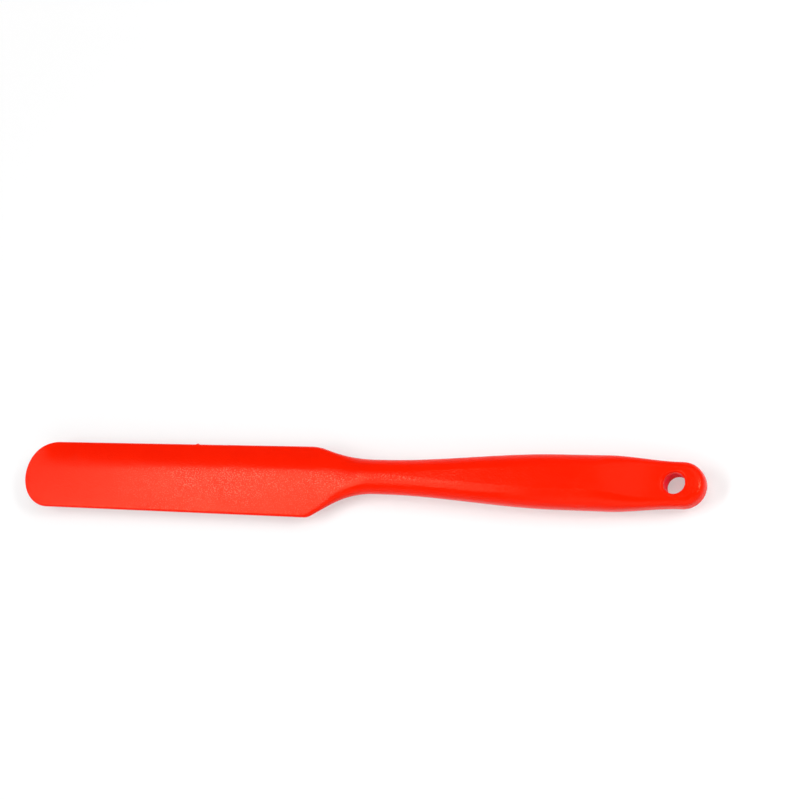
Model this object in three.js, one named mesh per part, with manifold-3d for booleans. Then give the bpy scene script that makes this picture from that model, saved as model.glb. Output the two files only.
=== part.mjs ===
// A long silicone cake scraper: a stiff nylon core with one seamless silicone body moulded round it.
// Millimetres. Distances along the tool run in +X from the round tip of the blade to the end of the handle.
// Y runs across the blade towards its upper edge. Z runs up through the thickness, with the tool lying flat.
import * as THREE from "three";
import { mergeVertices } from "three/addons/utils/BufferGeometryUtils.js";
import Module from "manifold-3d";

// Overall sizes
const LENGTH = 280;
const BLADE_WIDTH = 27;
const GRIP_THICKNESS = 12;

// Blade: a wide lower face and a steeper upper bevel meet in a soft ridge, the same on both sides
// Towards the tip the rise to the ridge falls to a share of its full height, and the bevel runs out
const BLADE_LENGTH = 134;
const EDGE_THICKNESS = 1.7;
const LOWER_FACE_SLOPE = Math.tan(THREE.MathUtils.degToRad(8.5));
const UPPER_BEVEL_SLOPE = Math.tan(THREE.MathUtils.degToRad(20));
const RIDGE_ROUNDING = 2.2;
const TIP_RISE_SHARE = 0.3;
const BEVEL_RUN_OUT = 14;

// Nib left on the upper edge where the mould was filled
const NIB_FROM_TIP = 80.5;
const NIB_HEIGHT = 0.35;
const NIB_WIDTH = 2;

// Shoulders between the blade and the neck
const SHOULDER_LENGTH = 25;
const UPPER_SHOULDER_ARC = 64;
const LOWER_SHOULDER_ARC = 32.5;
const SHOULDER_CORNER_ROUNDING = 0.9;

// Neck and handle, whose straight centre line lies above the middle of the blade
const HANDLE_LINE = 2.6;
const NECK_WIDTH = 12.5;
const NECK_THICKNESS = 10;
const NECK_LENGTH = 5;
const GRIP_WIDTH = 18.9;
const GRIP_SWELL_LENGTH = 65;
const GRIP_FLAT_LENGTH = 20;
const GRIP_FLAT_FROM_END = 38;
const FLAT_CUT = 0.3;

// Section squareness: 2 is an ellipse, and more is boxier
const NECK_SQUARENESS = 2.2;
const GRIP_SQUARENESS = 2.5;
const TAB_SQUARENESS = 3.6;

// Round tab at the end of the handle, and its hanging hole
const TAB_RADIUS = 7.6;
const TAB_THICKNESS = 7.6;
const TAB_FACE_LENGTH = 15.5;
const TAB_TAPER_LENGTH = 26.5;
const HOLE_DIAMETER = 7.2;
const HOLE_FROM_END = 9.9;
const HOLE_RIM_ROUNDING = 1.2;
const HOLE_RIM_OVERRUN = 0.05;

// Nylon core
const SKIN = 2.1;
const CORE_GAP = 0.3;
const CORE_SQUARENESS = 5;
const CORE_FROM_TIP = 42;
const TONGUE_WIDTH = 10;
const TONGUE_THICKNESS = 1.6;
const KEY_HOLE_DIAMETER = 4.2;
const KEY_HOLE_COUNT = 4;
const KEY_HOLE_PITCH = 21;
const KEY_HOLE_FROM_TONGUE_END = 12;
const WINDOW_LENGTH = 15;
const WINDOW_WIDTH = 5;
const WINDOW_COUNT = 3;
const WINDOW_PITCH = 21;
const LAST_WINDOW_FROM_END = 33;

// Fineness of the surfaces: steps across a section, along each stretch of the tool, and round circles
const BODY_RING_STEPS = 24;
const BODY_STEPS = { blade: 3, nib: 6, shoulder: 14, swell: 10, flat: 2, taper: 6, tab: 3 };
const CORE_RING_STEPS = 10;
const CORE_STEPS = { tongue: 1, shoulder: 7, swell: 6, flat: 1, tab: 7 };
const ROUND_END_STEPS = 8;
const CIRCLE_STEPS = 40;
const RIM_STEPS = 4;

// Places worked out from the sizes above
const TIP_RADIUS = BLADE_WIDTH / 2;
const NECK_START = BLADE_LENGTH + SHOULDER_LENGTH;
const SWELL_START = NECK_START + NECK_LENGTH;
const GRIP_FLAT_END = LENGTH - GRIP_FLAT_FROM_END;
const GRIP_FLAT_START = GRIP_FLAT_END - GRIP_FLAT_LENGTH;
const TAB_FACE_START = LENGTH - TAB_FACE_LENGTH;
const TAB_CENTRE = LENGTH - TAB_RADIUS;
const HOLE_CENTRE = LENGTH - HOLE_FROM_END;
const RIDGE_SHARE = UPPER_BEVEL_SLOPE / (UPPER_BEVEL_SLOPE + LOWER_FACE_SLOPE);
const RIDGE_RISE = LOWER_FACE_SLOPE * BLADE_WIDTH * RIDGE_SHARE - RIDGE_ROUNDING / 4;
const RIDGE_HEIGHT = EDGE_THICKNESS / 2 + RIDGE_RISE;

const { lerp, smoothstep } = THREE.MathUtils;
const wasm = await Module();
wasm.setup();

// The lesser of two heights, with the crease where they cross rounded over the given height.
function softMin(a, b, rounding) {
  const nearness = Math.max(1 - Math.abs(a - b) / rounding, 0);
  return Math.min(a, b) - (nearness ** 2 * rounding) / 4;
}

// Half a chord of a circle, at a distance from its centre.
function halfChord(radius, fromCentre) {
  return Math.sqrt(Math.max(radius ** 2 - fromCentre ** 2, 0));
}

// Height of a rounded bar's section: 1 over its middle line, 0 at its rim.
function barHeight(share, squareness) {
  return Math.max(1 - share ** squareness, 0) ** (1 / squareness);
}

// How much of the way from neck to full grip, and from grip to tab, a place along the tool has gone.
const widthSwell = (along) => smoothstep(along, SWELL_START, SWELL_START + GRIP_SWELL_LENGTH);
const depthSwell = (along) => smoothstep(along, SWELL_START, GRIP_FLAT_START);
const widthTaper = (along) => smoothstep(along, TAB_CENTRE - TAB_TAPER_LENGTH, TAB_CENTRE);
const depthTaper = (along) => smoothstep(along, GRIP_FLAT_END, TAB_FACE_START);
const shoulderShare = (along) => smoothstep(along, BLADE_LENGTH, NECK_START);

// Half the width of the neck, grip and tab, up to the centre of the tab's round end.
function handleHalfWidth(along) {
  const swollen = lerp(NECK_WIDTH, GRIP_WIDTH, widthSwell(along)) / 2;
  return lerp(swollen, TAB_RADIUS, widthTaper(along));
}

// Half the thickness over the centre line of the shoulder, neck, grip and tab.
function handleHalfThickness(along) {
  const neck = lerp(RIDGE_HEIGHT, NECK_THICKNESS / 2, shoulderShare(along));
  const grip = lerp(neck, GRIP_THICKNESS / 2, depthSwell(along));
  return lerp(grip, TAB_THICKNESS / 2, depthTaper(along));
}

// How far a shoulder stands out past the neck: an arc off the neck, then its tangent to the blade's corner.
function shoulderRise(along, drop, arc) {
  const radius = Math.min(arc, (SHOULDER_LENGTH ** 2 + drop ** 2) / (2 * drop));
  const lean = Math.atan2(radius - drop, SHOULDER_LENGTH);
  const angle = Math.asin(radius / Math.hypot(SHOULDER_LENGTH, radius - drop)) - lean;
  const back = NECK_START - along;
  const arcLength = radius * Math.sin(angle);
  if (back < arcLength) return radius - halfChord(radius, back);
  return drop + (back - SHOULDER_LENGTH) * Math.tan(angle);
}

// One long edge of the outline, as a distance from the middle of the blade. Side is 1 above and -1 below.
function edgeDistance(along, side, arc) {
  if (along < TIP_RADIUS) return halfChord(TIP_RADIUS, TIP_RADIUS - along);
  const line = side * HANDLE_LINE;
  if (along > TAB_CENTRE) return line + halfChord(TAB_RADIUS, along - TAB_CENTRE);
  if (along > NECK_START) return line + handleHalfWidth(along);
  const neckEdge = line + NECK_WIDTH / 2;
  const shoulder = neckEdge + shoulderRise(along, TIP_RADIUS - neckEdge, arc);
  return softMin(TIP_RADIUS, shoulder, SHOULDER_CORNER_ROUNDING);
}

function upperEdge(along) {
  const fromNib = Math.min(Math.abs(along - NIB_FROM_TIP) / (NIB_WIDTH / 2), 1);
  const nib = (NIB_HEIGHT * (1 + Math.cos(Math.PI * fromNib))) / 2;
  return edgeDistance(along, 1, UPPER_SHOULDER_ARC) + nib;
}

function lowerEdge(along) {
  return -edgeDistance(along, -1, LOWER_SHOULDER_ARC);
}

// Height of the blade over its middle plane: its lower face and upper bevel, with a rounded rim.
function bladeHeight(along, y) {
  const face = LOWER_FACE_SLOPE * (y + TIP_RADIUS);
  const bevel = UPPER_BEVEL_SLOPE * Math.max(TIP_RADIUS - y, 0);
  const section = lerp(face, softMin(bevel, face, RIDGE_ROUNDING), smoothstep(along, 0, BEVEL_RUN_OUT));
  const rise = lerp(TIP_RISE_SHARE, 1, Math.min(along / BLADE_LENGTH, 1));
  const tipRim = TIP_RADIUS - Math.hypot(Math.max(TIP_RADIUS - along, 0), y);
  const sideRim = Math.min(upperEdge(along) - y, y - lowerEdge(along));
  const rim = along < TIP_RADIUS ? tipRim : sideRim;
  const edgeShare = Math.min(Math.max(1 - rim / (EDGE_THICKNESS / 2), 0), 1);
  return (EDGE_THICKNESS / 2 + rise * section) * Math.sqrt(1 - edgeShare ** 2);
}

// Height of the shoulder, neck, grip and tab over that plane: a squarish oval with its crown cut flat.
function handleHeight(along, y) {
  const across = y - HANDLE_LINE;
  const edge = across < 0 ? HANDLE_LINE - lowerEdge(along) : upperEdge(along) - HANDLE_LINE;
  const roundEnd = Math.hypot(along - TAB_CENTRE, across) / TAB_RADIUS;
  const share = along > TAB_CENTRE ? roundEnd : Math.abs(across) / edge;
  const grip = lerp(NECK_SQUARENESS, GRIP_SQUARENESS, widthSwell(along));
  const squareness = lerp(grip, TAB_SQUARENESS, depthTaper(along));
  const top = handleHalfThickness(along);
  const crown = top + FLAT_CUT * depthSwell(along);
  return Math.min(crown * barHeight(Math.min(share, 1), squareness), top);
}

function bodyHeight(along, y) {
  return lerp(bladeHeight(along, y), handleHeight(along, y), shoulderShare(along));
}

// One closed ring of points: over the top from the lower edge to the upper, then back underneath.
function ring(along, lower, middle, upper, height, steps) {
  const over = [];
  for (let k = 0; k <= steps; k++) {
    const share = Math.sin(Math.PI * (k / steps - 0.5));
    const y = middle + share * (share < 0 ? middle - lower : upper - middle);
    over.push(new THREE.Vector3(along, y, height(y)));
  }
  const under = over.slice(1, -1).reverse();
  return [...over, ...under.map((p) => new THREE.Vector3(p.x, p.y, -p.z))];
}

// A closed surface through a row of rings, drawn to a point at each end.
function loft(start, rings, end) {
  const count = rings[0].length;
  const points = [start, ...rings.flat(), end];
  const faces = [];
  for (let i = 0; i < count; i++) {
    const next = (i + 1) % count;
    faces.push(0, 1 + i, 1 + next);
    for (let r = 1; r < rings.length; r++) {
      const here = 1 + r * count;
      const before = here - count;
      faces.push(before + i, here + next, before + next);
      faces.push(before + i, here + i, here + next);
    }
    const last = points.length - 1 - count;
    faces.push(last + i, points.length - 1, last + next);
  }
  return new THREE.BufferGeometry().setFromPoints(points).setIndex(faces);
}

// Places from one distance to another, without the first, evenly spaced.
function evenly(from, to, steps) {
  return Array.from({ length: steps }, (_, i) => lerp(from, to, (i + 1) / steps));
}

// Places along a round end, from its pole to its centre, without the pole, closer together near the pole.
function roundEnd(pole, centre) {
  const angles = evenly(0, Math.PI / 2, ROUND_END_STEPS);
  return angles.map((angle) => centre + (pole - centre) * Math.cos(angle));
}

// The outside of the silicone body.
function bodySurface() {
  const nibStart = NIB_FROM_TIP - NIB_WIDTH / 2;
  const nibEnd = NIB_FROM_TIP + NIB_WIDTH / 2;
  const cornerStart = BLADE_LENGTH - EDGE_THICKNESS;
  const stations = [
    ...roundEnd(0, TIP_RADIUS),
    ...evenly(TIP_RADIUS, nibStart, BODY_STEPS.blade),
    ...evenly(nibStart, nibEnd, BODY_STEPS.nib),
    ...evenly(nibEnd, cornerStart, BODY_STEPS.blade),
    ...evenly(cornerStart, NECK_START, BODY_STEPS.shoulder),
    ...evenly(NECK_START, GRIP_FLAT_START, BODY_STEPS.swell),
    ...evenly(GRIP_FLAT_START, GRIP_FLAT_END, BODY_STEPS.flat),
    ...evenly(GRIP_FLAT_END, TAB_FACE_START, BODY_STEPS.taper),
    ...evenly(TAB_FACE_START, TAB_CENTRE, BODY_STEPS.tab),
    ...roundEnd(LENGTH, TAB_CENTRE).reverse().slice(1),
  ];
  const rings = stations.map((along) => {
    const lower = lowerEdge(along);
    const upper = upperEdge(along);
    const middle = lerp(lower, upper, lerp(RIDGE_SHARE, 0.5, shoulderShare(along)));
    return ring(along, lower, middle, upper, (y) => bodyHeight(along, y), BODY_RING_STEPS);
  });
  return loft(new THREE.Vector3(0, 0, 0), rings, new THREE.Vector3(LENGTH, HANDLE_LINE, 0));
}

// The outside of the core, grown all round by a gap for the pocket that it sits in.
function coreSurface(grow) {
  const start = CORE_FROM_TIP - grow;
  const end = LENGTH - SKIN + grow;
  const tongueRadius = TONGUE_WIDTH / 2 + grow;
  const tabRadius = TAB_RADIUS - SKIN + grow;
  const halfWidth = (along) =>
    lerp(tongueRadius, handleHalfWidth(along) - SKIN + grow, shoulderShare(along));
  const halfThickness = (along) =>
    lerp(TONGUE_THICKNESS / 2, handleHalfThickness(along) - SKIN, shoulderShare(along)) + grow;
  const stations = [
    ...roundEnd(start, start + tongueRadius),
    ...evenly(start + tongueRadius, BLADE_LENGTH, CORE_STEPS.tongue),
    ...evenly(BLADE_LENGTH, NECK_START, CORE_STEPS.shoulder),
    ...evenly(NECK_START, GRIP_FLAT_START, CORE_STEPS.swell),
    ...evenly(GRIP_FLAT_START, GRIP_FLAT_END, CORE_STEPS.flat),
    ...evenly(GRIP_FLAT_END, TAB_CENTRE, CORE_STEPS.tab),
    ...roundEnd(end, TAB_CENTRE).reverse().slice(1),
  ];
  const rings = stations.map((along) => {
    const fromTongueCentre = Math.max(start + tongueRadius - along, 0);
    const fromTabCentre = Math.max(along - TAB_CENTRE, 0);
    const radius = fromTabCentre > 0 ? tabRadius : halfWidth(along);
    const fromCentre = fromTongueCentre + fromTabCentre;
    const half = halfChord(radius, fromCentre);
    const height = (y) => {
      const share = Math.min(Math.hypot(fromCentre, y - HANDLE_LINE) / radius, 1);
      return halfThickness(along) * barHeight(share, CORE_SQUARENESS);
    };
    return ring(along, HANDLE_LINE - half, HANDLE_LINE, HANDLE_LINE + half, height, CORE_RING_STEPS);
  });
  return loft(new THREE.Vector3(start, HANDLE_LINE, 0), rings, new THREE.Vector3(end, HANDLE_LINE, 0));
}

// A stadium-shaped prism through the core, on the handle's centre line. A length of 0 makes it round.
function keyPrism(along, length, radius) {
  const outline = new THREE.Shape();
  outline.absarc(length / 2, 0, radius, -Math.PI / 2, Math.PI / 2);
  outline.absarc(-length / 2, 0, radius, Math.PI / 2, (3 * Math.PI) / 2);
  const prism = new THREE.ExtrudeGeometry(outline, {
    depth: GRIP_THICKNESS,
    bevelEnabled: false,
    curveSegments: CIRCLE_STEPS / 4,
  });
  return prism.translate(along, HANDLE_LINE, -GRIP_THICKNESS / 2);
}

// The holes and windows through the core, or the silicone pegs that fill them when shrunk by a gap.
function keyPrisms(shrink) {
  const holes = Array.from({ length: KEY_HOLE_COUNT }, (_, i) => {
    const along = CORE_FROM_TIP + KEY_HOLE_FROM_TONGUE_END + i * KEY_HOLE_PITCH;
    return keyPrism(along, 0, KEY_HOLE_DIAMETER / 2 - shrink);
  });
  const windows = Array.from({ length: WINDOW_COUNT }, (_, i) => {
    const along = LENGTH - LAST_WINDOW_FROM_END - i * WINDOW_PITCH;
    return keyPrism(along, WINDOW_LENGTH - WINDOW_WIDTH, WINDOW_WIDTH / 2 - shrink);
  });
  return [...holes, ...windows];
}

// The space of the hanging hole: a straight bore that flares round the rim at each face of the tab.
function holeSpace() {
  const bore = HOLE_DIAMETER / 2;
  const arcCentre = TAB_THICKNESS / 2 + HOLE_RIM_OVERRUN - HOLE_RIM_ROUNDING;
  const flare = evenly(0, Math.PI / 2, RIM_STEPS).map((angle) => [
    bore + HOLE_RIM_ROUNDING * (1 - Math.cos(angle)),
    arcCentre + HOLE_RIM_ROUNDING * Math.sin(angle),
  ]);
  const mouth = [bore + HOLE_RIM_ROUNDING, TAB_THICKNESS];
  const above = [[bore, arcCentre], ...flare, mouth, [0, TAB_THICKNESS]];
  const below = above.map(([radius, height]) => [radius, -height]).reverse();
  const profile = [...below, ...above].map(([radius, height]) => new THREE.Vector2(radius, height));
  const space = new THREE.LatheGeometry(profile, CIRCLE_STEPS);
  return space.rotateX(Math.PI / 2).translate(HOLE_CENTRE, HANDLE_LINE, 0);
}

// A closed geometry as a solid that can be joined and cut.
function solid(geometry) {
  const bare = geometry.clone();
  bare.deleteAttribute("normal");
  bare.deleteAttribute("uv");
  const merged = mergeVertices(bare);
  const vertProperties = new Float32Array(merged.getAttribute("position").array);
  const triVerts = new Uint32Array(merged.index.array);
  return new wasm.Manifold(new wasm.Mesh({ numProp: 3, vertProperties, triVerts }));
}

function geometryOf(made) {
  const { vertProperties, triVerts, numProp } = made.getMesh();
  const geometry = new THREE.BufferGeometry();
  geometry.setAttribute("position", new THREE.BufferAttribute(vertProperties, numProp));
  geometry.setIndex(new THREE.BufferAttribute(triVerts, 1));
  geometry.computeVertexNormals();
  return geometry;
}

function cutAway(from, geometries) {
  return geometries.reduce((left, geometry) => left.subtract(solid(geometry)), from);
}

// Silicone body: its outside, less the pocket for the core, whose pegs stay, and less the hanging hole.
function siliconeBody() {
  const pocket = cutAway(solid(coreSurface(CORE_GAP)), keyPrisms(CORE_GAP));
  const body = solid(bodySurface()).subtract(pocket).subtract(solid(holeSpace()));
  const material = new THREE.MeshStandardMaterial({ color: 0xf5200a, roughness: 0.55, metalness: 0 });
  return new THREE.Mesh(geometryOf(body), material);
}

// Nylon core: a bar that follows the handle inside its skin, with a tongue, keying holes and an eye.
function nylonCore() {
  const core = cutAway(solid(coreSurface(0)), [...keyPrisms(0), holeSpace()]);
  const material = new THREE.MeshStandardMaterial({ color: 0xc9443c, roughness: 0.45, metalness: 0 });
  return new THREE.Mesh(geometryOf(core), material);
}

// The tool lies on the flats of its grip, centred over the origin.
const scraper = new THREE.Group();
scraper.position.set(-LENGTH / 2, -NIB_HEIGHT / 2, GRIP_THICKNESS / 2);
for (const [name, mesh] of Object.entries({ silicone_body: siliconeBody(), nylon_core: nylonCore() })) {
  mesh.name = name;
  scraper.add(mesh);
}
export default scraper;
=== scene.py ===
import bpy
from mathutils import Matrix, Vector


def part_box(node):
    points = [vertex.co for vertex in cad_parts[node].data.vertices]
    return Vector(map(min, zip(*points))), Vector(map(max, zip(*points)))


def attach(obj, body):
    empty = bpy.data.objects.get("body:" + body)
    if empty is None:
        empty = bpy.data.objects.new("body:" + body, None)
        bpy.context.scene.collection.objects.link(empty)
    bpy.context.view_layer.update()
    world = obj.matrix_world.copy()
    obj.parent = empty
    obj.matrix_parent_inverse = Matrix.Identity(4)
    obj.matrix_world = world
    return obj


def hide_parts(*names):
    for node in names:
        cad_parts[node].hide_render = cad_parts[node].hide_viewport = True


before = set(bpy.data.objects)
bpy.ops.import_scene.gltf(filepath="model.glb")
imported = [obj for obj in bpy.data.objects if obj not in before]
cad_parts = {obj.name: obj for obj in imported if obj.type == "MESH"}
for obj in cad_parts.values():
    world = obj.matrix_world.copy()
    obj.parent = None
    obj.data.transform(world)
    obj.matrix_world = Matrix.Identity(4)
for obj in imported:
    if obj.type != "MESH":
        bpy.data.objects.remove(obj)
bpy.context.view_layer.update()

# The looks of a one-piece silicone cake scraper: a fine silicone skin round a nylon core, on a pale floor.
# Metres. Distances along the tool run from the blade's tip, y runs across it from the middle of the blade
# towards the upper edge, and heights are measured from the tool's middle plane.
import math

import bmesh
import bpy
import numpy as np
from mathutils import Matrix, Vector

# Overall sizes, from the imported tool
LOW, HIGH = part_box("silicone_body")
LENGTH = HIGH.x - LOW.x
GRIP_THICKNESS = HIGH.z - LOW.z

# Blade: a wide lower face and a steeper upper bevel meet in a soft ridge, flattening towards the tip
BLADE_WIDTH = 0.027
BLADE_LENGTH = 0.134
EDGE_THICKNESS = 0.0017
LOWER_FACE_SLOPE = math.tan(math.radians(8.5))
UPPER_BEVEL_SLOPE = math.tan(math.radians(20))
RIDGE_ROUNDING = 0.0022
TIP_RISE_SHARE = 0.3
BEVEL_RUN_OUT = 0.014
NIB_FROM_TIP = 0.0805
NIB_HEIGHT = 0.00035
NIB_WIDTH = 0.002

# Shoulders, neck and handle
SHOULDER_LENGTH = 0.025
UPPER_SHOULDER_ARC = 0.064
LOWER_SHOULDER_ARC = 0.0325
SHOULDER_CORNER_ROUNDING = 0.0009
HANDLE_LINE = 0.0026
NECK_WIDTH = 0.0125
NECK_THICKNESS = 0.010
NECK_LENGTH = 0.005
GRIP_WIDTH = 0.0189
GRIP_SWELL_LENGTH = 0.065
GRIP_FLAT_LENGTH = 0.020
GRIP_FLAT_FROM_END = 0.038
FLAT_CUT = 0.0003
NECK_SQUARENESS = 2.2
GRIP_SQUARENESS = 2.5
TAB_SQUARENESS = 3.6

# Round tab and its hanging hole
TAB_RADIUS = 0.0076
TAB_THICKNESS = 0.0076
TAB_FACE_LENGTH = 0.0155
TAB_TAPER_LENGTH = 0.0265
HOLE_DIAMETER = 0.0072
HOLE_FROM_END = 0.0099
HOLE_RIM_ROUNDING = 0.0012

# Nylon core, and the room that the silicone leaves round it
SKIN = 0.0021
CORE_SQUARENESS = 5
CORE_FROM_TIP = 0.042
TONGUE_WIDTH = 0.010
TONGUE_THICKNESS = 0.0016
LINING_GAP = 0.00015
LIP_GAP = 0.00003
LIP_DEPTH = 0.0003

# Fineness of the skin
ROUND_END_STEPS = 40
STATION_PITCH = 0.0006
FINE_STATION_PITCH = 0.00012
ACROSS_STEPS = 64
TAB_EDGE_STEPS = 24
TAB_ROUND_STEPS = 64
RADIAL_STEPS = 22
RIM_STEPS = 8
WALL_STEPS = 6
LINING_STATION_PITCH = 0.004
LINING_ACROSS_STEPS = 24
TAB_GRID_LENGTH = 0.018
EDGE_CROWDING = 4
SMALLEST_WIDTH = 1e-9
MERGE_DISTANCE = 1e-7

# Silicone: its reds, its shine, and the sizes and depths of its mould grain
DARK_RED = (0.95, 0.0105, 0.0003)
LIGHT_RED = (0.98, 0.0122, 0.0006)
COLOUR_PATCH = 0.012
GRAIN_PATCH = 0.016
LEAST_GRAIN = 0.25
FINE_SIZE = 0.00025
FINE_DEPTH = 0.00002
PIT_SIZE = 0.0006
PIT_DEPTH = 0.00010
WAVE_SIZE = 0.009
WAVE_DEPTH = 0.00004
SHINE_PATCH = 0.003
SILICONE_ROUGHNESS = (0.17, 0.22)
SILICONE_IOR = 1.41
SILICONE_SHINE = 0.16
SILICONE_SHINE_TINT = (1, 0.95, 0.5)

# Pale flecks painted into the colour as glints of sheen on the mould grain: a painted highlight on grain
# that is real. Each pair is where they start and where they are full: along the tool from each end, up from
# the lower edge, and by the lean of the surface, which is the part of its normal along +Y and keeps them
# where the sheen falls.
GLINT_RED = (0.98, 0.13, 0.088)
GLINT_SIZE = 0.00045
GLINT_RANGE = (-2.2, 1.7)
FROM_TIP = (-0.105, -0.060)
FROM_GRIP = (0.080, -0.030)
FROM_LOWER_EDGE = (-0.0135, 0)
LOWER_EDGE_SHARE = 0.3
FROM_LEVEL = (0.02, -0.05)
FROM_STEEP = (-0.35, -0.22)

# Nylon: its reds, its shine, and the sizes of its flow marks and grain
DARK_NYLON = (0.90, 0.013, 0.036)
LIGHT_NYLON = (0.95, 0.018, 0.046)
FLOW_MARK = 0.004
NYLON_GRAIN_SIZE = 0.0005
NYLON_GRAIN_DEPTH = 0.00002
NYLON_SHINE_PATCH = 0.001
NYLON_ROUGHNESS = (0.55, 0.65)
NYLON_SHINE = 0.1

# Part of a noise's values that is stretched over a range
NOISE_RANGE = (0.3, 0.7)

# Floor: the lamps make a share of its white near the tool, and its own glow takes over between two distances
FLOOR_REACH = 12
FLOOR_SHARE = 0.6
FLOOR_ROUGHNESS = 0.9
GLOW_DISTANCES = (0.25, 1.1)

# Sky: white at the horizon and dim above
HORIZON_LIGHT = 1
SKY_LIGHT = 0.06
SKY_RISE = (0.05, 0.35)

# Lamps, as seen from the tool: the strip in degrees to the left of the camera and above it
STRIP_ASIDE = (63.8, 5)
RIM_DIRECTION = Vector((0.80, 0.17, 0.57))
BACK_DIRECTION = Vector((0.30, 0.45, 0.80))
FRONT_DIRECTION = Vector((0.20, -0.80, 0.50))

# Camera, turned and tilted from straight above the tool, and its place in its own axes: right, up and back
CAMERA_TILT = math.radians(19.17)
CAMERA_TURN = math.radians(26.74)
CAMERA_ROLL = math.radians(0.14)
CAMERA_PLACE = Vector((0.02652, 0.03002, 0.54668))
LENS = 67.5
SENSOR = 36

# Places worked out from the sizes above
TIP_RADIUS = BLADE_WIDTH / 2
NECK_START = BLADE_LENGTH + SHOULDER_LENGTH
SWELL_START = NECK_START + NECK_LENGTH
GRIP_FLAT_END = LENGTH - GRIP_FLAT_FROM_END
GRIP_FLAT_START = GRIP_FLAT_END - GRIP_FLAT_LENGTH
TAB_FACE_START = LENGTH - TAB_FACE_LENGTH
TAB_CENTRE = LENGTH - TAB_RADIUS
TAB_GRID_START = LENGTH - TAB_GRID_LENGTH
HOLE_CENTRE = np.array([LENGTH - HOLE_FROM_END, HANDLE_LINE])
BORE = HOLE_DIAMETER / 2
RIDGE_SHARE = UPPER_BEVEL_SLOPE / (UPPER_BEVEL_SLOPE + LOWER_FACE_SLOPE)
RIDGE_RISE = LOWER_FACE_SLOPE * BLADE_WIDTH * RIDGE_SHARE - RIDGE_ROUNDING / 4
RIDGE_HEIGHT = EDGE_THICKNESS / 2 + RIDGE_RISE
MIDDLE = Vector((LOW.x, LOW.y + TIP_RADIUS, (LOW.z + HIGH.z) / 2))


# Shape of the tool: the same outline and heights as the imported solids
def lerp(a, b, share):
    return a + (b - a) * share


def smoothstep(x, start, end):
    share = np.clip((x - start) / (end - start), 0, 1)
    return share * share * (3 - 2 * share)


def soft_min(a, b, rounding):
    nearness = np.maximum(1 - np.abs(a - b) / rounding, 0)
    return np.minimum(a, b) - nearness**2 * rounding / 4


def half_chord(radius, from_centre):
    return np.sqrt(np.maximum(radius**2 - from_centre**2, 0))


def bar_height(share, squareness):
    return np.maximum(1 - share**squareness, 0) ** (1 / squareness)


def width_swell(along):
    return smoothstep(along, SWELL_START, SWELL_START + GRIP_SWELL_LENGTH)


def depth_swell(along):
    return smoothstep(along, SWELL_START, GRIP_FLAT_START)


def width_taper(along):
    return smoothstep(along, TAB_CENTRE - TAB_TAPER_LENGTH, TAB_CENTRE)


def depth_taper(along):
    return smoothstep(along, GRIP_FLAT_END, TAB_FACE_START)


def shoulder_share(along):
    return smoothstep(along, BLADE_LENGTH, NECK_START)


def handle_half_width(along):
    swollen = lerp(NECK_WIDTH, GRIP_WIDTH, width_swell(along)) / 2
    return lerp(swollen, TAB_RADIUS, width_taper(along))


def handle_half_thickness(along):
    neck = lerp(RIDGE_HEIGHT, NECK_THICKNESS / 2, shoulder_share(along))
    grip = lerp(neck, GRIP_THICKNESS / 2, depth_swell(along))
    return lerp(grip, TAB_THICKNESS / 2, depth_taper(along))


def shoulder_rise(along, drop, arc):
    """How far a shoulder stands out past the neck: an arc off the neck, then its tangent to the corner."""
    radius = min(arc, (SHOULDER_LENGTH**2 + drop**2) / (2 * drop))
    lean = math.atan2(radius - drop, SHOULDER_LENGTH)
    angle = math.asin(radius / math.hypot(SHOULDER_LENGTH, radius - drop)) - lean
    back = NECK_START - along
    curved = radius - half_chord(radius, np.clip(back, 0, radius))
    straight = drop + (back - SHOULDER_LENGTH) * math.tan(angle)
    return np.where(back < radius * math.sin(angle), curved, straight)


def edge_distance(along, side, arc):
    """One long edge of the outline, measured from the middle of the blade."""
    line = side * HANDLE_LINE
    neck_edge = line + NECK_WIDTH / 2
    shoulder = neck_edge + shoulder_rise(along, TIP_RADIUS - neck_edge, arc)
    stretches = [along < TIP_RADIUS, along > TAB_CENTRE, along > NECK_START]
    distances = [
        half_chord(TIP_RADIUS, TIP_RADIUS - along),
        line + half_chord(TAB_RADIUS, along - TAB_CENTRE),
        line + handle_half_width(along),
    ]
    return np.select(stretches, distances, soft_min(TIP_RADIUS, shoulder, SHOULDER_CORNER_ROUNDING))


def upper_edge(along):
    from_nib = np.minimum(np.abs(along - NIB_FROM_TIP) / (NIB_WIDTH / 2), 1)
    nib = NIB_HEIGHT * (1 + np.cos(np.pi * from_nib)) / 2
    return edge_distance(along, 1, UPPER_SHOULDER_ARC) + nib


def lower_edge(along):
    return -edge_distance(along, -1, LOWER_SHOULDER_ARC)


def blade_height(along, y):
    """The blade's lower face and its upper bevel, which ends at the tip, with a rounded rim."""
    face = LOWER_FACE_SLOPE * (y + TIP_RADIUS)
    bevel = UPPER_BEVEL_SLOPE * np.maximum(TIP_RADIUS - y, 0)
    section = lerp(face, soft_min(bevel, face, RIDGE_ROUNDING), smoothstep(along, 0, BEVEL_RUN_OUT))
    rise = lerp(TIP_RISE_SHARE, 1, np.minimum(along / BLADE_LENGTH, 1))
    tip_rim = TIP_RADIUS - np.hypot(np.maximum(TIP_RADIUS - along, 0), y)
    side_rim = np.minimum(upper_edge(along) - y, y - lower_edge(along))
    rim = np.where(along < TIP_RADIUS, tip_rim, side_rim)
    edge_share = np.clip(1 - rim / (EDGE_THICKNESS / 2), 0, 1)
    return (EDGE_THICKNESS / 2 + rise * section) * np.sqrt(1 - edge_share**2)


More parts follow.
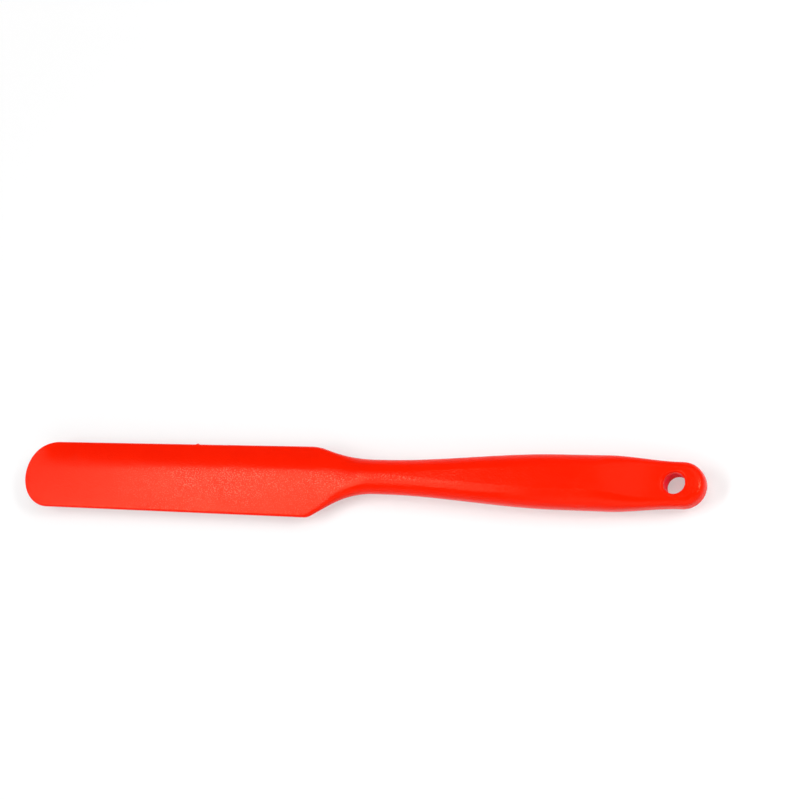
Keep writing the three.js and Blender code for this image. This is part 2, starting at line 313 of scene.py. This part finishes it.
def handle_height(along, y):
    """The shoulder, neck, grip and tab: a squarish oval with its crown cut flat."""
    across = y - HANDLE_LINE
    edge = np.where(across < 0, HANDLE_LINE - lower_edge(along), upper_edge(along) - HANDLE_LINE)
    round_end = np.hypot(along - TAB_CENTRE, across) / TAB_RADIUS
    straight = np.abs(across) / np.maximum(edge, SMALLEST_WIDTH)
    share = np.minimum(np.where(along > TAB_CENTRE, round_end, straight), 1)
    grip = lerp(NECK_SQUARENESS, GRIP_SQUARENESS, width_swell(along))
    squareness = lerp(grip, TAB_SQUARENESS, depth_taper(along))
    top = handle_half_thickness(along)
    crown = top + FLAT_CUT * depth_swell(along)
    return np.minimum(crown * bar_height(share, squareness), top)


def body_height(along, y):
    return lerp(blade_height(along, y), handle_height(along, y), shoulder_share(along))


def core_radius(along):
    bar = lerp(TONGUE_WIDTH / 2, handle_half_width(along) - SKIN, shoulder_share(along))
    return np.where(along > TAB_CENTRE, TAB_RADIUS - SKIN, bar) + LINING_GAP


def core_from_centre(along):
    tongue_centre = CORE_FROM_TIP + TONGUE_WIDTH / 2
    return np.maximum(tongue_centre - along, 0) + np.maximum(along - TAB_CENTRE, 0)


def core_half_width(along):
    return half_chord(core_radius(along), core_from_centre(along))


def core_height(along, y):
    """Height of the lining that the silicone leaves round the core."""
    bar = handle_half_thickness(along) - SKIN
    half = lerp(TONGUE_THICKNESS / 2, bar, shoulder_share(along)) + LINING_GAP
    share = np.hypot(core_from_centre(along), y - HANDLE_LINE) / core_radius(along)
    return half * bar_height(np.minimum(share, 1), CORE_SQUARENESS)


# Meshes
def stations_between(start, end, pitch):
    return np.linspace(start, end, max(int(round((end - start) / pitch)), 1) + 1)[1:]


def round_end_stations(pole, centre):
    angles = np.linspace(0, np.pi / 2, ROUND_END_STEPS + 1)[1:]
    return centre + (pole - centre) * np.cos(angles)


def body_stations():
    """Places along the skin, closer together where the outline bends."""
    nib_start = NIB_FROM_TIP - NIB_WIDTH / 2
    nib_end = NIB_FROM_TIP + NIB_WIDTH / 2
    corner_start = BLADE_LENGTH - 2 * EDGE_THICKNESS
    corner_end = BLADE_LENGTH + 2 * EDGE_THICKNESS
    return np.concatenate([
        round_end_stations(0, TIP_RADIUS),
        stations_between(TIP_RADIUS, nib_start, STATION_PITCH),
        stations_between(nib_start, nib_end, FINE_STATION_PITCH),
        stations_between(nib_end, corner_start, STATION_PITCH),
        stations_between(corner_start, corner_end, FINE_STATION_PITCH),
        stations_between(corner_end, TAB_GRID_START, STATION_PITCH),
    ])


def lining_stations():
    tongue_centre = CORE_FROM_TIP + TONGUE_WIDTH / 2
    return np.concatenate([
        round_end_stations(CORE_FROM_TIP - LINING_GAP, tongue_centre),
        stations_between(tongue_centre, TAB_GRID_START, LINING_STATION_PITCH),
    ])


def tab_outline(lower, upper, radius):
    """Points round the tab from its upper edge to its lower one, without the two where its grid starts."""
    sides = np.linspace(TAB_GRID_START, TAB_CENTRE, TAB_EDGE_STEPS + 1)[1:]
    angles = np.linspace(np.pi / 2, -np.pi / 2, TAB_ROUND_STEPS + 1)[1:-1]
    top = np.stack([sides, upper(sides)], axis=1)
    end = np.stack([TAB_CENTRE + radius * np.cos(angles), HANDLE_LINE + radius * np.sin(angles)], axis=1)
    bottom = np.stack([sides, lower(sides)], axis=1)[::-1]
    return np.concatenate([top, end, bottom])


def half_shell(pole, stations, steps, lower, upper, middle_share, height, tab_radius, profile):
    """The upper half of a closed skin: rows across the tool, then rays round the hanging hole.
    The profile carries the rays on inwards, as rings of a radius and a height."""
    shares = np.sin(np.pi * (np.arange(steps + 1) / steps - 0.5))
    low, high = lower(stations)[:, None], upper(stations)[:, None]
    middle = lerp(low, high, middle_share(stations)[:, None])
    y = middle + shares * np.where(shares < 0, middle - low, high - middle)
    along = np.repeat(stations[:, None], steps + 1, axis=1)
    z = height(along, y)
    z[:, [0, -1]] = 0
    points = [[(*pole, 0)], np.stack([along, y, z], axis=2).reshape(-1, 3)]
    row = 1 + np.arange(len(stations) * (steps + 1)).reshape(len(stations), steps + 1)
    faces = [[0, b, a] for a, b in zip(row[0, :-1], row[0, 1:])]
    faces += quads(row)

    outline = tab_outline(lower, upper, tab_radius)
    line = np.stack([along[-1], y[-1]], axis=1)
    outer = np.concatenate([line, outline])
    outward = outer - HOLE_CENTRE
    outward /= np.linalg.norm(outward, axis=1)[:, None]
    rim = HOLE_CENTRE + outward * profile[0][0]
    count = 1 + row.size
    first = np.concatenate([row[-1], count + np.arange(len(outline))])
    points.append(np.column_stack([outline, np.zeros(len(outline))]))
    count += len(outline)
    crowding = np.concatenate([shares**EDGE_CROWDING, np.ones(len(outline))])[:, None]
    rings = [first]
    for step in range(1, RADIAL_STEPS + 1):
        even = step / RADIAL_STEPS
        inward = lerp(even, 1 - math.cos(even * math.pi / 2), crowding)
        place = lerp(outer, rim, inward)
        points.append(np.column_stack([place, height(place[:, 0], place[:, 1])]))
        rings.append(count + np.arange(len(outer)))
        count += len(outer)
    for radius, level in profile[1:]:
        place = HOLE_CENTRE + outward * radius
        points.append(np.column_stack([place, np.full(len(outer), level)]))
        rings.append(count + np.arange(len(outer)))
        count += len(outer)
    rings = np.array(rings)
    faces += quads(np.column_stack([rings, rings[:, :1]])[:, ::-1])
    return np.concatenate(points), faces, rings[-1]


def quads(grid):
    corners = [grid[:-1, :-1], grid[:-1, 1:], grid[1:, 1:], grid[1:, :-1]]
    return np.stack(corners, axis=2).reshape(-1, 4).tolist()


def hole_profile():
    """The hanging hole's rim, wall and lip, as radii and heights from the tab's face inwards."""
    arc_centre = TAB_THICKNESS / 2 - HOLE_RIM_ROUNDING
    lip = TAB_THICKNESS / 2 - SKIN + LIP_GAP
    angles = np.linspace(np.pi / 2, 0, RIM_STEPS + 1)
    radii = BORE + HOLE_RIM_ROUNDING * (1 - np.cos(angles))
    levels = arc_centre + HOLE_RIM_ROUNDING * np.sin(angles)
    wall = [(BORE, level) for level in np.linspace(arc_centre, lip, WALL_STEPS + 1)[1:]]
    return [*zip(radii, levels), *wall, (BORE + LIP_DEPTH, lip)]


def both_halves(points, faces):
    mirrored = points * np.array([1, 1, -1])
    offset = len(points)
    under = [[offset + i for i in reversed(face)] for face in faces]
    return np.concatenate([points, mirrored]), faces + under


def silicone_mesh():
    outer = half_shell(
        pole=(0, 0),
        stations=body_stations(),
        steps=ACROSS_STEPS,
        lower=lower_edge,
        upper=upper_edge,
        middle_share=lambda along: lerp(RIDGE_SHARE, 0.5, shoulder_share(along)),
        height=body_height,
        tab_radius=TAB_RADIUS,
        profile=hole_profile(),
    )
    lining = half_shell(
        pole=(CORE_FROM_TIP - LINING_GAP, HANDLE_LINE),
        stations=lining_stations(),
        steps=LINING_ACROSS_STEPS,
        lower=lambda along: HANDLE_LINE - core_half_width(along),
        upper=lambda along: HANDLE_LINE + core_half_width(along),
        middle_share=lambda along: np.full_like(along, 0.5),
        height=core_height,
        tab_radius=TAB_RADIUS - SKIN + LINING_GAP,
        profile=[(BORE + LIP_DEPTH, 0)],
    )
    body = bmesh.new()
    loops = []
    for points, faces, inner_ring in (outer, lining):
        all_points, all_faces = both_halves(points, faces)
        made = [body.verts.new(MIDDLE + Vector(p)) for p in all_points]
        for face in all_faces:
            body.faces.new([made[i] for i in face])
        for start in (0, len(points)):
            loops.append([made[start + i] for i in inner_ring])
    for skin_loop, lining_loop in ((loops[0], loops[2]), (loops[1], loops[3])):
        edges = [
            body.edges.get(ends)
            for loop in (skin_loop, lining_loop)
            for ends in zip(loop, loop[1:] + loop[:1])
        ]
        bmesh.ops.bridge_loops(body, edges=edges)
    bmesh.ops.remove_doubles(body, verts=body.verts[:], dist=MERGE_DISTANCE)
    bmesh.ops.recalc_face_normals(body, faces=body.faces[:])
    mesh = bpy.data.meshes.new("silicone_skin")
    body.to_mesh(mesh)
    body.free()
    mesh.polygons.foreach_set("use_smooth", np.ones(len(mesh.polygons), bool))
    return mesh


# Materials
def new_material(name):
    material = bpy.data.materials.new(name)
    material.use_nodes = True
    tree = material.node_tree
    return material, tree, tree.nodes["Principled BSDF"]


def object_place(tree):
    return tree.nodes.new("ShaderNodeTexCoord").outputs["Object"]


def noise(tree, size, detail):
    """Noise in the tool's own metres, with patches of about the given size."""
    texture = tree.nodes.new("ShaderNodeTexNoise")
    texture.inputs["Scale"].default_value = 1 / size
    texture.inputs["Detail"].default_value = detail
    tree.links.new(object_place(tree), texture.inputs["Vector"])
    return texture.outputs["Fac"]


def map_range(tree, value, source, target, smooth=False):
    """A value carried from one range to another and held at its ends."""
    reach = tree.nodes.new("ShaderNodeMapRange")
    if smooth:
        reach.interpolation_type = "SMOOTHSTEP"
    for name, number in zip(("From Min", "From Max", "To Min", "To Max"), (*source, *target)):
        reach.inputs[name].default_value = number
    tree.links.new(value, reach.inputs["Value"])
    return reach.outputs["Result"]


def spread(tree, value, target):
    """A noise value stretched over a range."""
    return map_range(tree, value, NOISE_RANGE, target)


def part_of(tree, vector, axis):
    parts = tree.nodes.new("ShaderNodeSeparateXYZ")
    tree.links.new(vector, parts.inputs["Vector"])
    return parts.outputs[axis]


def combine(tree, operation, a, b):
    """Two values put together by a maths node."""
    made = tree.nodes.new("ShaderNodeMath")
    made.operation = operation
    tree.links.new(a, made.inputs[0])
    tree.links.new(b, made.inputs[1])
    return made.outputs[0]


def tone(tree, value, low, high):
    """Two colours mixed by a value. The first may be the colour of another mix."""
    mix = tree.nodes.new("ShaderNodeMix")
    mix.data_type = "RGBA"
    if isinstance(low, tuple):
        mix.inputs["A"].default_value = (*low, 1)
    else:
        tree.links.new(low, mix.inputs["A"])
    mix.inputs["B"].default_value = (*high, 1)
    tree.links.new(value, mix.inputs["Factor"])
    return mix.outputs["Result"]


def bump(tree, height, depth, under=None):
    """A bumped surface, on top of another one if it is given."""
    made = tree.nodes.new("ShaderNodeBump")
    made.inputs["Distance"].default_value = depth
    made.inputs["Strength"].default_value = 1
    tree.links.new(height, made.inputs["Height"])
    if under:
        tree.links.new(under, made.inputs["Normal"])
    return made.outputs["Normal"]


def painted_grain_glints(tree, grainy):
    """Painted glints of sheen on the grain: pale flecks painted on the blade's lower face where it leans
    into the sheen, fading out along the neck.
    """
    place = object_place(tree)
    normal = tree.nodes.new("ShaderNodeNewGeometry").outputs["Normal"]
    # Painted glints: a pale fleck pattern, kept only where the surface leans into the sheen.
    glints = combine(tree, "MULTIPLY", spread(tree, noise(tree, GLINT_SIZE, detail=1), GLINT_RANGE), grainy)
    for vector, axis, limits, least in (
        (place, "X", FROM_TIP, 0),
        (place, "X", FROM_GRIP, 0),
        (place, "Y", FROM_LOWER_EDGE, LOWER_EDGE_SHARE),
        (normal, "Y", FROM_LEVEL, 0),
        (normal, "Y", FROM_STEEP, 0),
    ):
        share = map_range(tree, part_of(tree, vector, axis), limits, (least, 1), smooth=True)
        glints = combine(tree, "MULTIPLY", glints, share)
    return glints


def silicone_material():
    """Saturated red silicone with a fine spark-eroded mould grain, a soft satin shine, and pale flecks
    painted as glints of sheen on that grain.
    """
    material, tree, shader = new_material("red_silicone")
    patches = spread(tree, noise(tree, COLOUR_PATCH, detail=3), (0, 1))
    red = tone(tree, patches, DARK_RED, LIGHT_RED)
    grainy = spread(tree, noise(tree, GRAIN_PATCH, detail=2), (LEAST_GRAIN, 1))
    # Painted highlight: pale flecks mixed into the red where the grain catches the sheen.
    colour = tone(tree, painted_grain_glints(tree, grainy), red, GLINT_RED)
    roughness = spread(tree, noise(tree, SHINE_PATCH, detail=2), SILICONE_ROUGHNESS)
    pits = combine(tree, "MULTIPLY", noise(tree, PIT_SIZE, detail=0), grainy)
    fine = bump(tree, noise(tree, FINE_SIZE, detail=0), FINE_DEPTH)
    grain = bump(tree, pits, PIT_DEPTH, fine)
    waves = bump(tree, noise(tree, WAVE_SIZE, detail=1), WAVE_DEPTH, grain)
    tree.links.new(colour, shader.inputs["Base Color"])
    tree.links.new(roughness, shader.inputs["Roughness"])
    tree.links.new(waves, shader.inputs["Normal"])
    shader.inputs["IOR"].default_value = SILICONE_IOR
    shader.inputs["Specular IOR Level"].default_value = SILICONE_SHINE
    shader.inputs["Specular Tint"].default_value = (*SILICONE_SHINE_TINT, 1)
    return material


def nylon_material():
    """Dull crimson nylon with faint flow marks."""
    material, tree, shader = new_material("tinted_nylon")
    flow = spread(tree, noise(tree, FLOW_MARK, detail=3), (0, 1))
    roughness = spread(tree, noise(tree, NYLON_SHINE_PATCH, detail=2), NYLON_ROUGHNESS)
    grain = bump(tree, noise(tree, NYLON_GRAIN_SIZE, detail=2), NYLON_GRAIN_DEPTH)
    tree.links.new(tone(tree, flow, DARK_NYLON, LIGHT_NYLON), shader.inputs["Base Color"])
    tree.links.new(roughness, shader.inputs["Roughness"])
    tree.links.new(grain, shader.inputs["Normal"])
    shader.inputs["Specular IOR Level"].default_value = NYLON_SHINE
    return material


def floor_material():
    """Matt white that keeps a faint shadow: part of its white is its own glow, which lights nothing, and
    far from the tool all of it is."""
    material, tree, shader = new_material("pale_floor")
    shader.inputs["Base Color"].default_value = (FLOOR_SHARE, FLOOR_SHARE, FLOOR_SHARE, 1)
    shader.inputs["Roughness"].default_value = FLOOR_ROUGHNESS
    shader.inputs["Specular IOR Level"].default_value = 0
    shader.inputs["Emission Color"].default_value = (1, 1, 1, 1)
    path = tree.nodes.new("ShaderNodeLightPath").outputs
    seen = path["Is Camera Ray"]
    for other in ("Is Glossy Ray", "Is Transmission Ray"):
        seen = combine(tree, "MAXIMUM", seen, path[other])
    away = tree.nodes.new("ShaderNodeVectorMath")
    away.operation = "LENGTH"
    tree.links.new(object_place(tree), away.inputs[0])
    glow = map_range(tree, away.outputs["Value"], GLOW_DISTANCES, (1 - FLOOR_SHARE, 1), smooth=True)
    tree.links.new(combine(tree, "MULTIPLY", seen, glow), shader.inputs["Emission Strength"])
    return material


# Scene
def link(name, data):
    made = bpy.data.objects.new(name, data)
    bpy.context.scene.collection.objects.link(made)
    return made


def view_axes():
    tilted = Matrix.Rotation(CAMERA_TILT, 3, "X") @ Matrix.Rotation(CAMERA_TURN, 3, "Y")
    return tilted @ Matrix.Rotation(CAMERA_ROLL, 3, "Z")


def tool_middle():
    return Vector((0, MIDDLE.y, MIDDLE.z))


def add_camera():
    data = bpy.data.cameras.new("camera")
    data.lens = LENS
    data.sensor_width = SENSOR
    camera = link("camera", data)
    axes = view_axes()
    camera.matrix_world = Matrix.Translation(tool_middle() + axes @ CAMERA_PLACE) @ axes.to_4x4()
    bpy.context.scene.camera = camera


def add_softbox(name, direction, distance, size, radiance):
    """A rectangular lamp in a direction from the tool, of an even brightness, aimed at the tool and upright
    in the picture."""
    data = bpy.data.lights.new(name, "AREA")
    data.shape = "RECTANGLE"
    data.size, data.size_y = size
    data.energy = radiance * math.pi * size[0] * size[1]
    lamp = link(name, data)
    towards = direction.normalized()
    across = view_axes().col[1].cross(towards).normalized()
    turn = Matrix((across, towards.cross(across), towards)).transposed()
    lamp.matrix_world = Matrix.Translation(tool_middle() + towards * distance) @ turn.to_4x4()


def from_camera(left, up):
    """A direction from the tool, in degrees to the left of the camera and above it."""
    left, up = math.radians(left), math.radians(up)
    aside = Vector((-math.sin(left) * math.cos(up), math.sin(up), math.cos(left) * math.cos(up)))
    return view_axes() @ aside


def add_lights():
    add_softbox("strip_softbox", from_camera(*STRIP_ASIDE), distance=2, size=(0.53, 1.60), radiance=8.6)
    add_softbox("rim_softbox", RIM_DIRECTION, distance=1, size=(0.16, 0.45), radiance=17)
    add_softbox("back_softbox", BACK_DIRECTION, distance=1, size=(1.00, 1.00), radiance=1.1)
    add_softbox("front_softbox", FRONT_DIRECTION, distance=1, size=(1.20, 0.70), radiance=1.4)


def add_world():
    world = bpy.data.worlds.new("studio")
    world.use_nodes = True
    bpy.context.scene.world = world
    tree = world.node_tree
    background = tree.nodes["Background"]
    background.inputs["Color"].default_value = (1, 1, 1, 1)
    direction = tree.nodes.new("ShaderNodeTexCoord").outputs["Generated"]
    rise = part_of(tree, direction, "Z")
    light = map_range(tree, rise, SKY_RISE, (HORIZON_LIGHT, SKY_LIGHT), smooth=True)
    tree.links.new(light, background.inputs["Strength"])


def add_floor():
    mesh = bpy.data.meshes.new("floor")
    corners = [(x * FLOOR_REACH, y * FLOOR_REACH, 0) for x, y in ((-1, -1), (1, -1), (1, 1), (-1, 1))]
    mesh.from_pydata(corners, [], [(0, 1, 2, 3)])
    floor = link("floor", mesh)
    mesh.materials.append(floor_material())


def add_tool():
    skin = link("silicone_skin", silicone_mesh())
    skin.data.materials.append(silicone_material())
    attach(skin, "root")
    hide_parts("silicone_body")
    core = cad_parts["nylon_core"]
    core.data.materials.clear()
    core.data.materials.append(nylon_material())


add_tool()
add_floor()
add_camera()
add_lights()
add_world()
bpy.context.scene.view_settings.view_transform = "Standard"
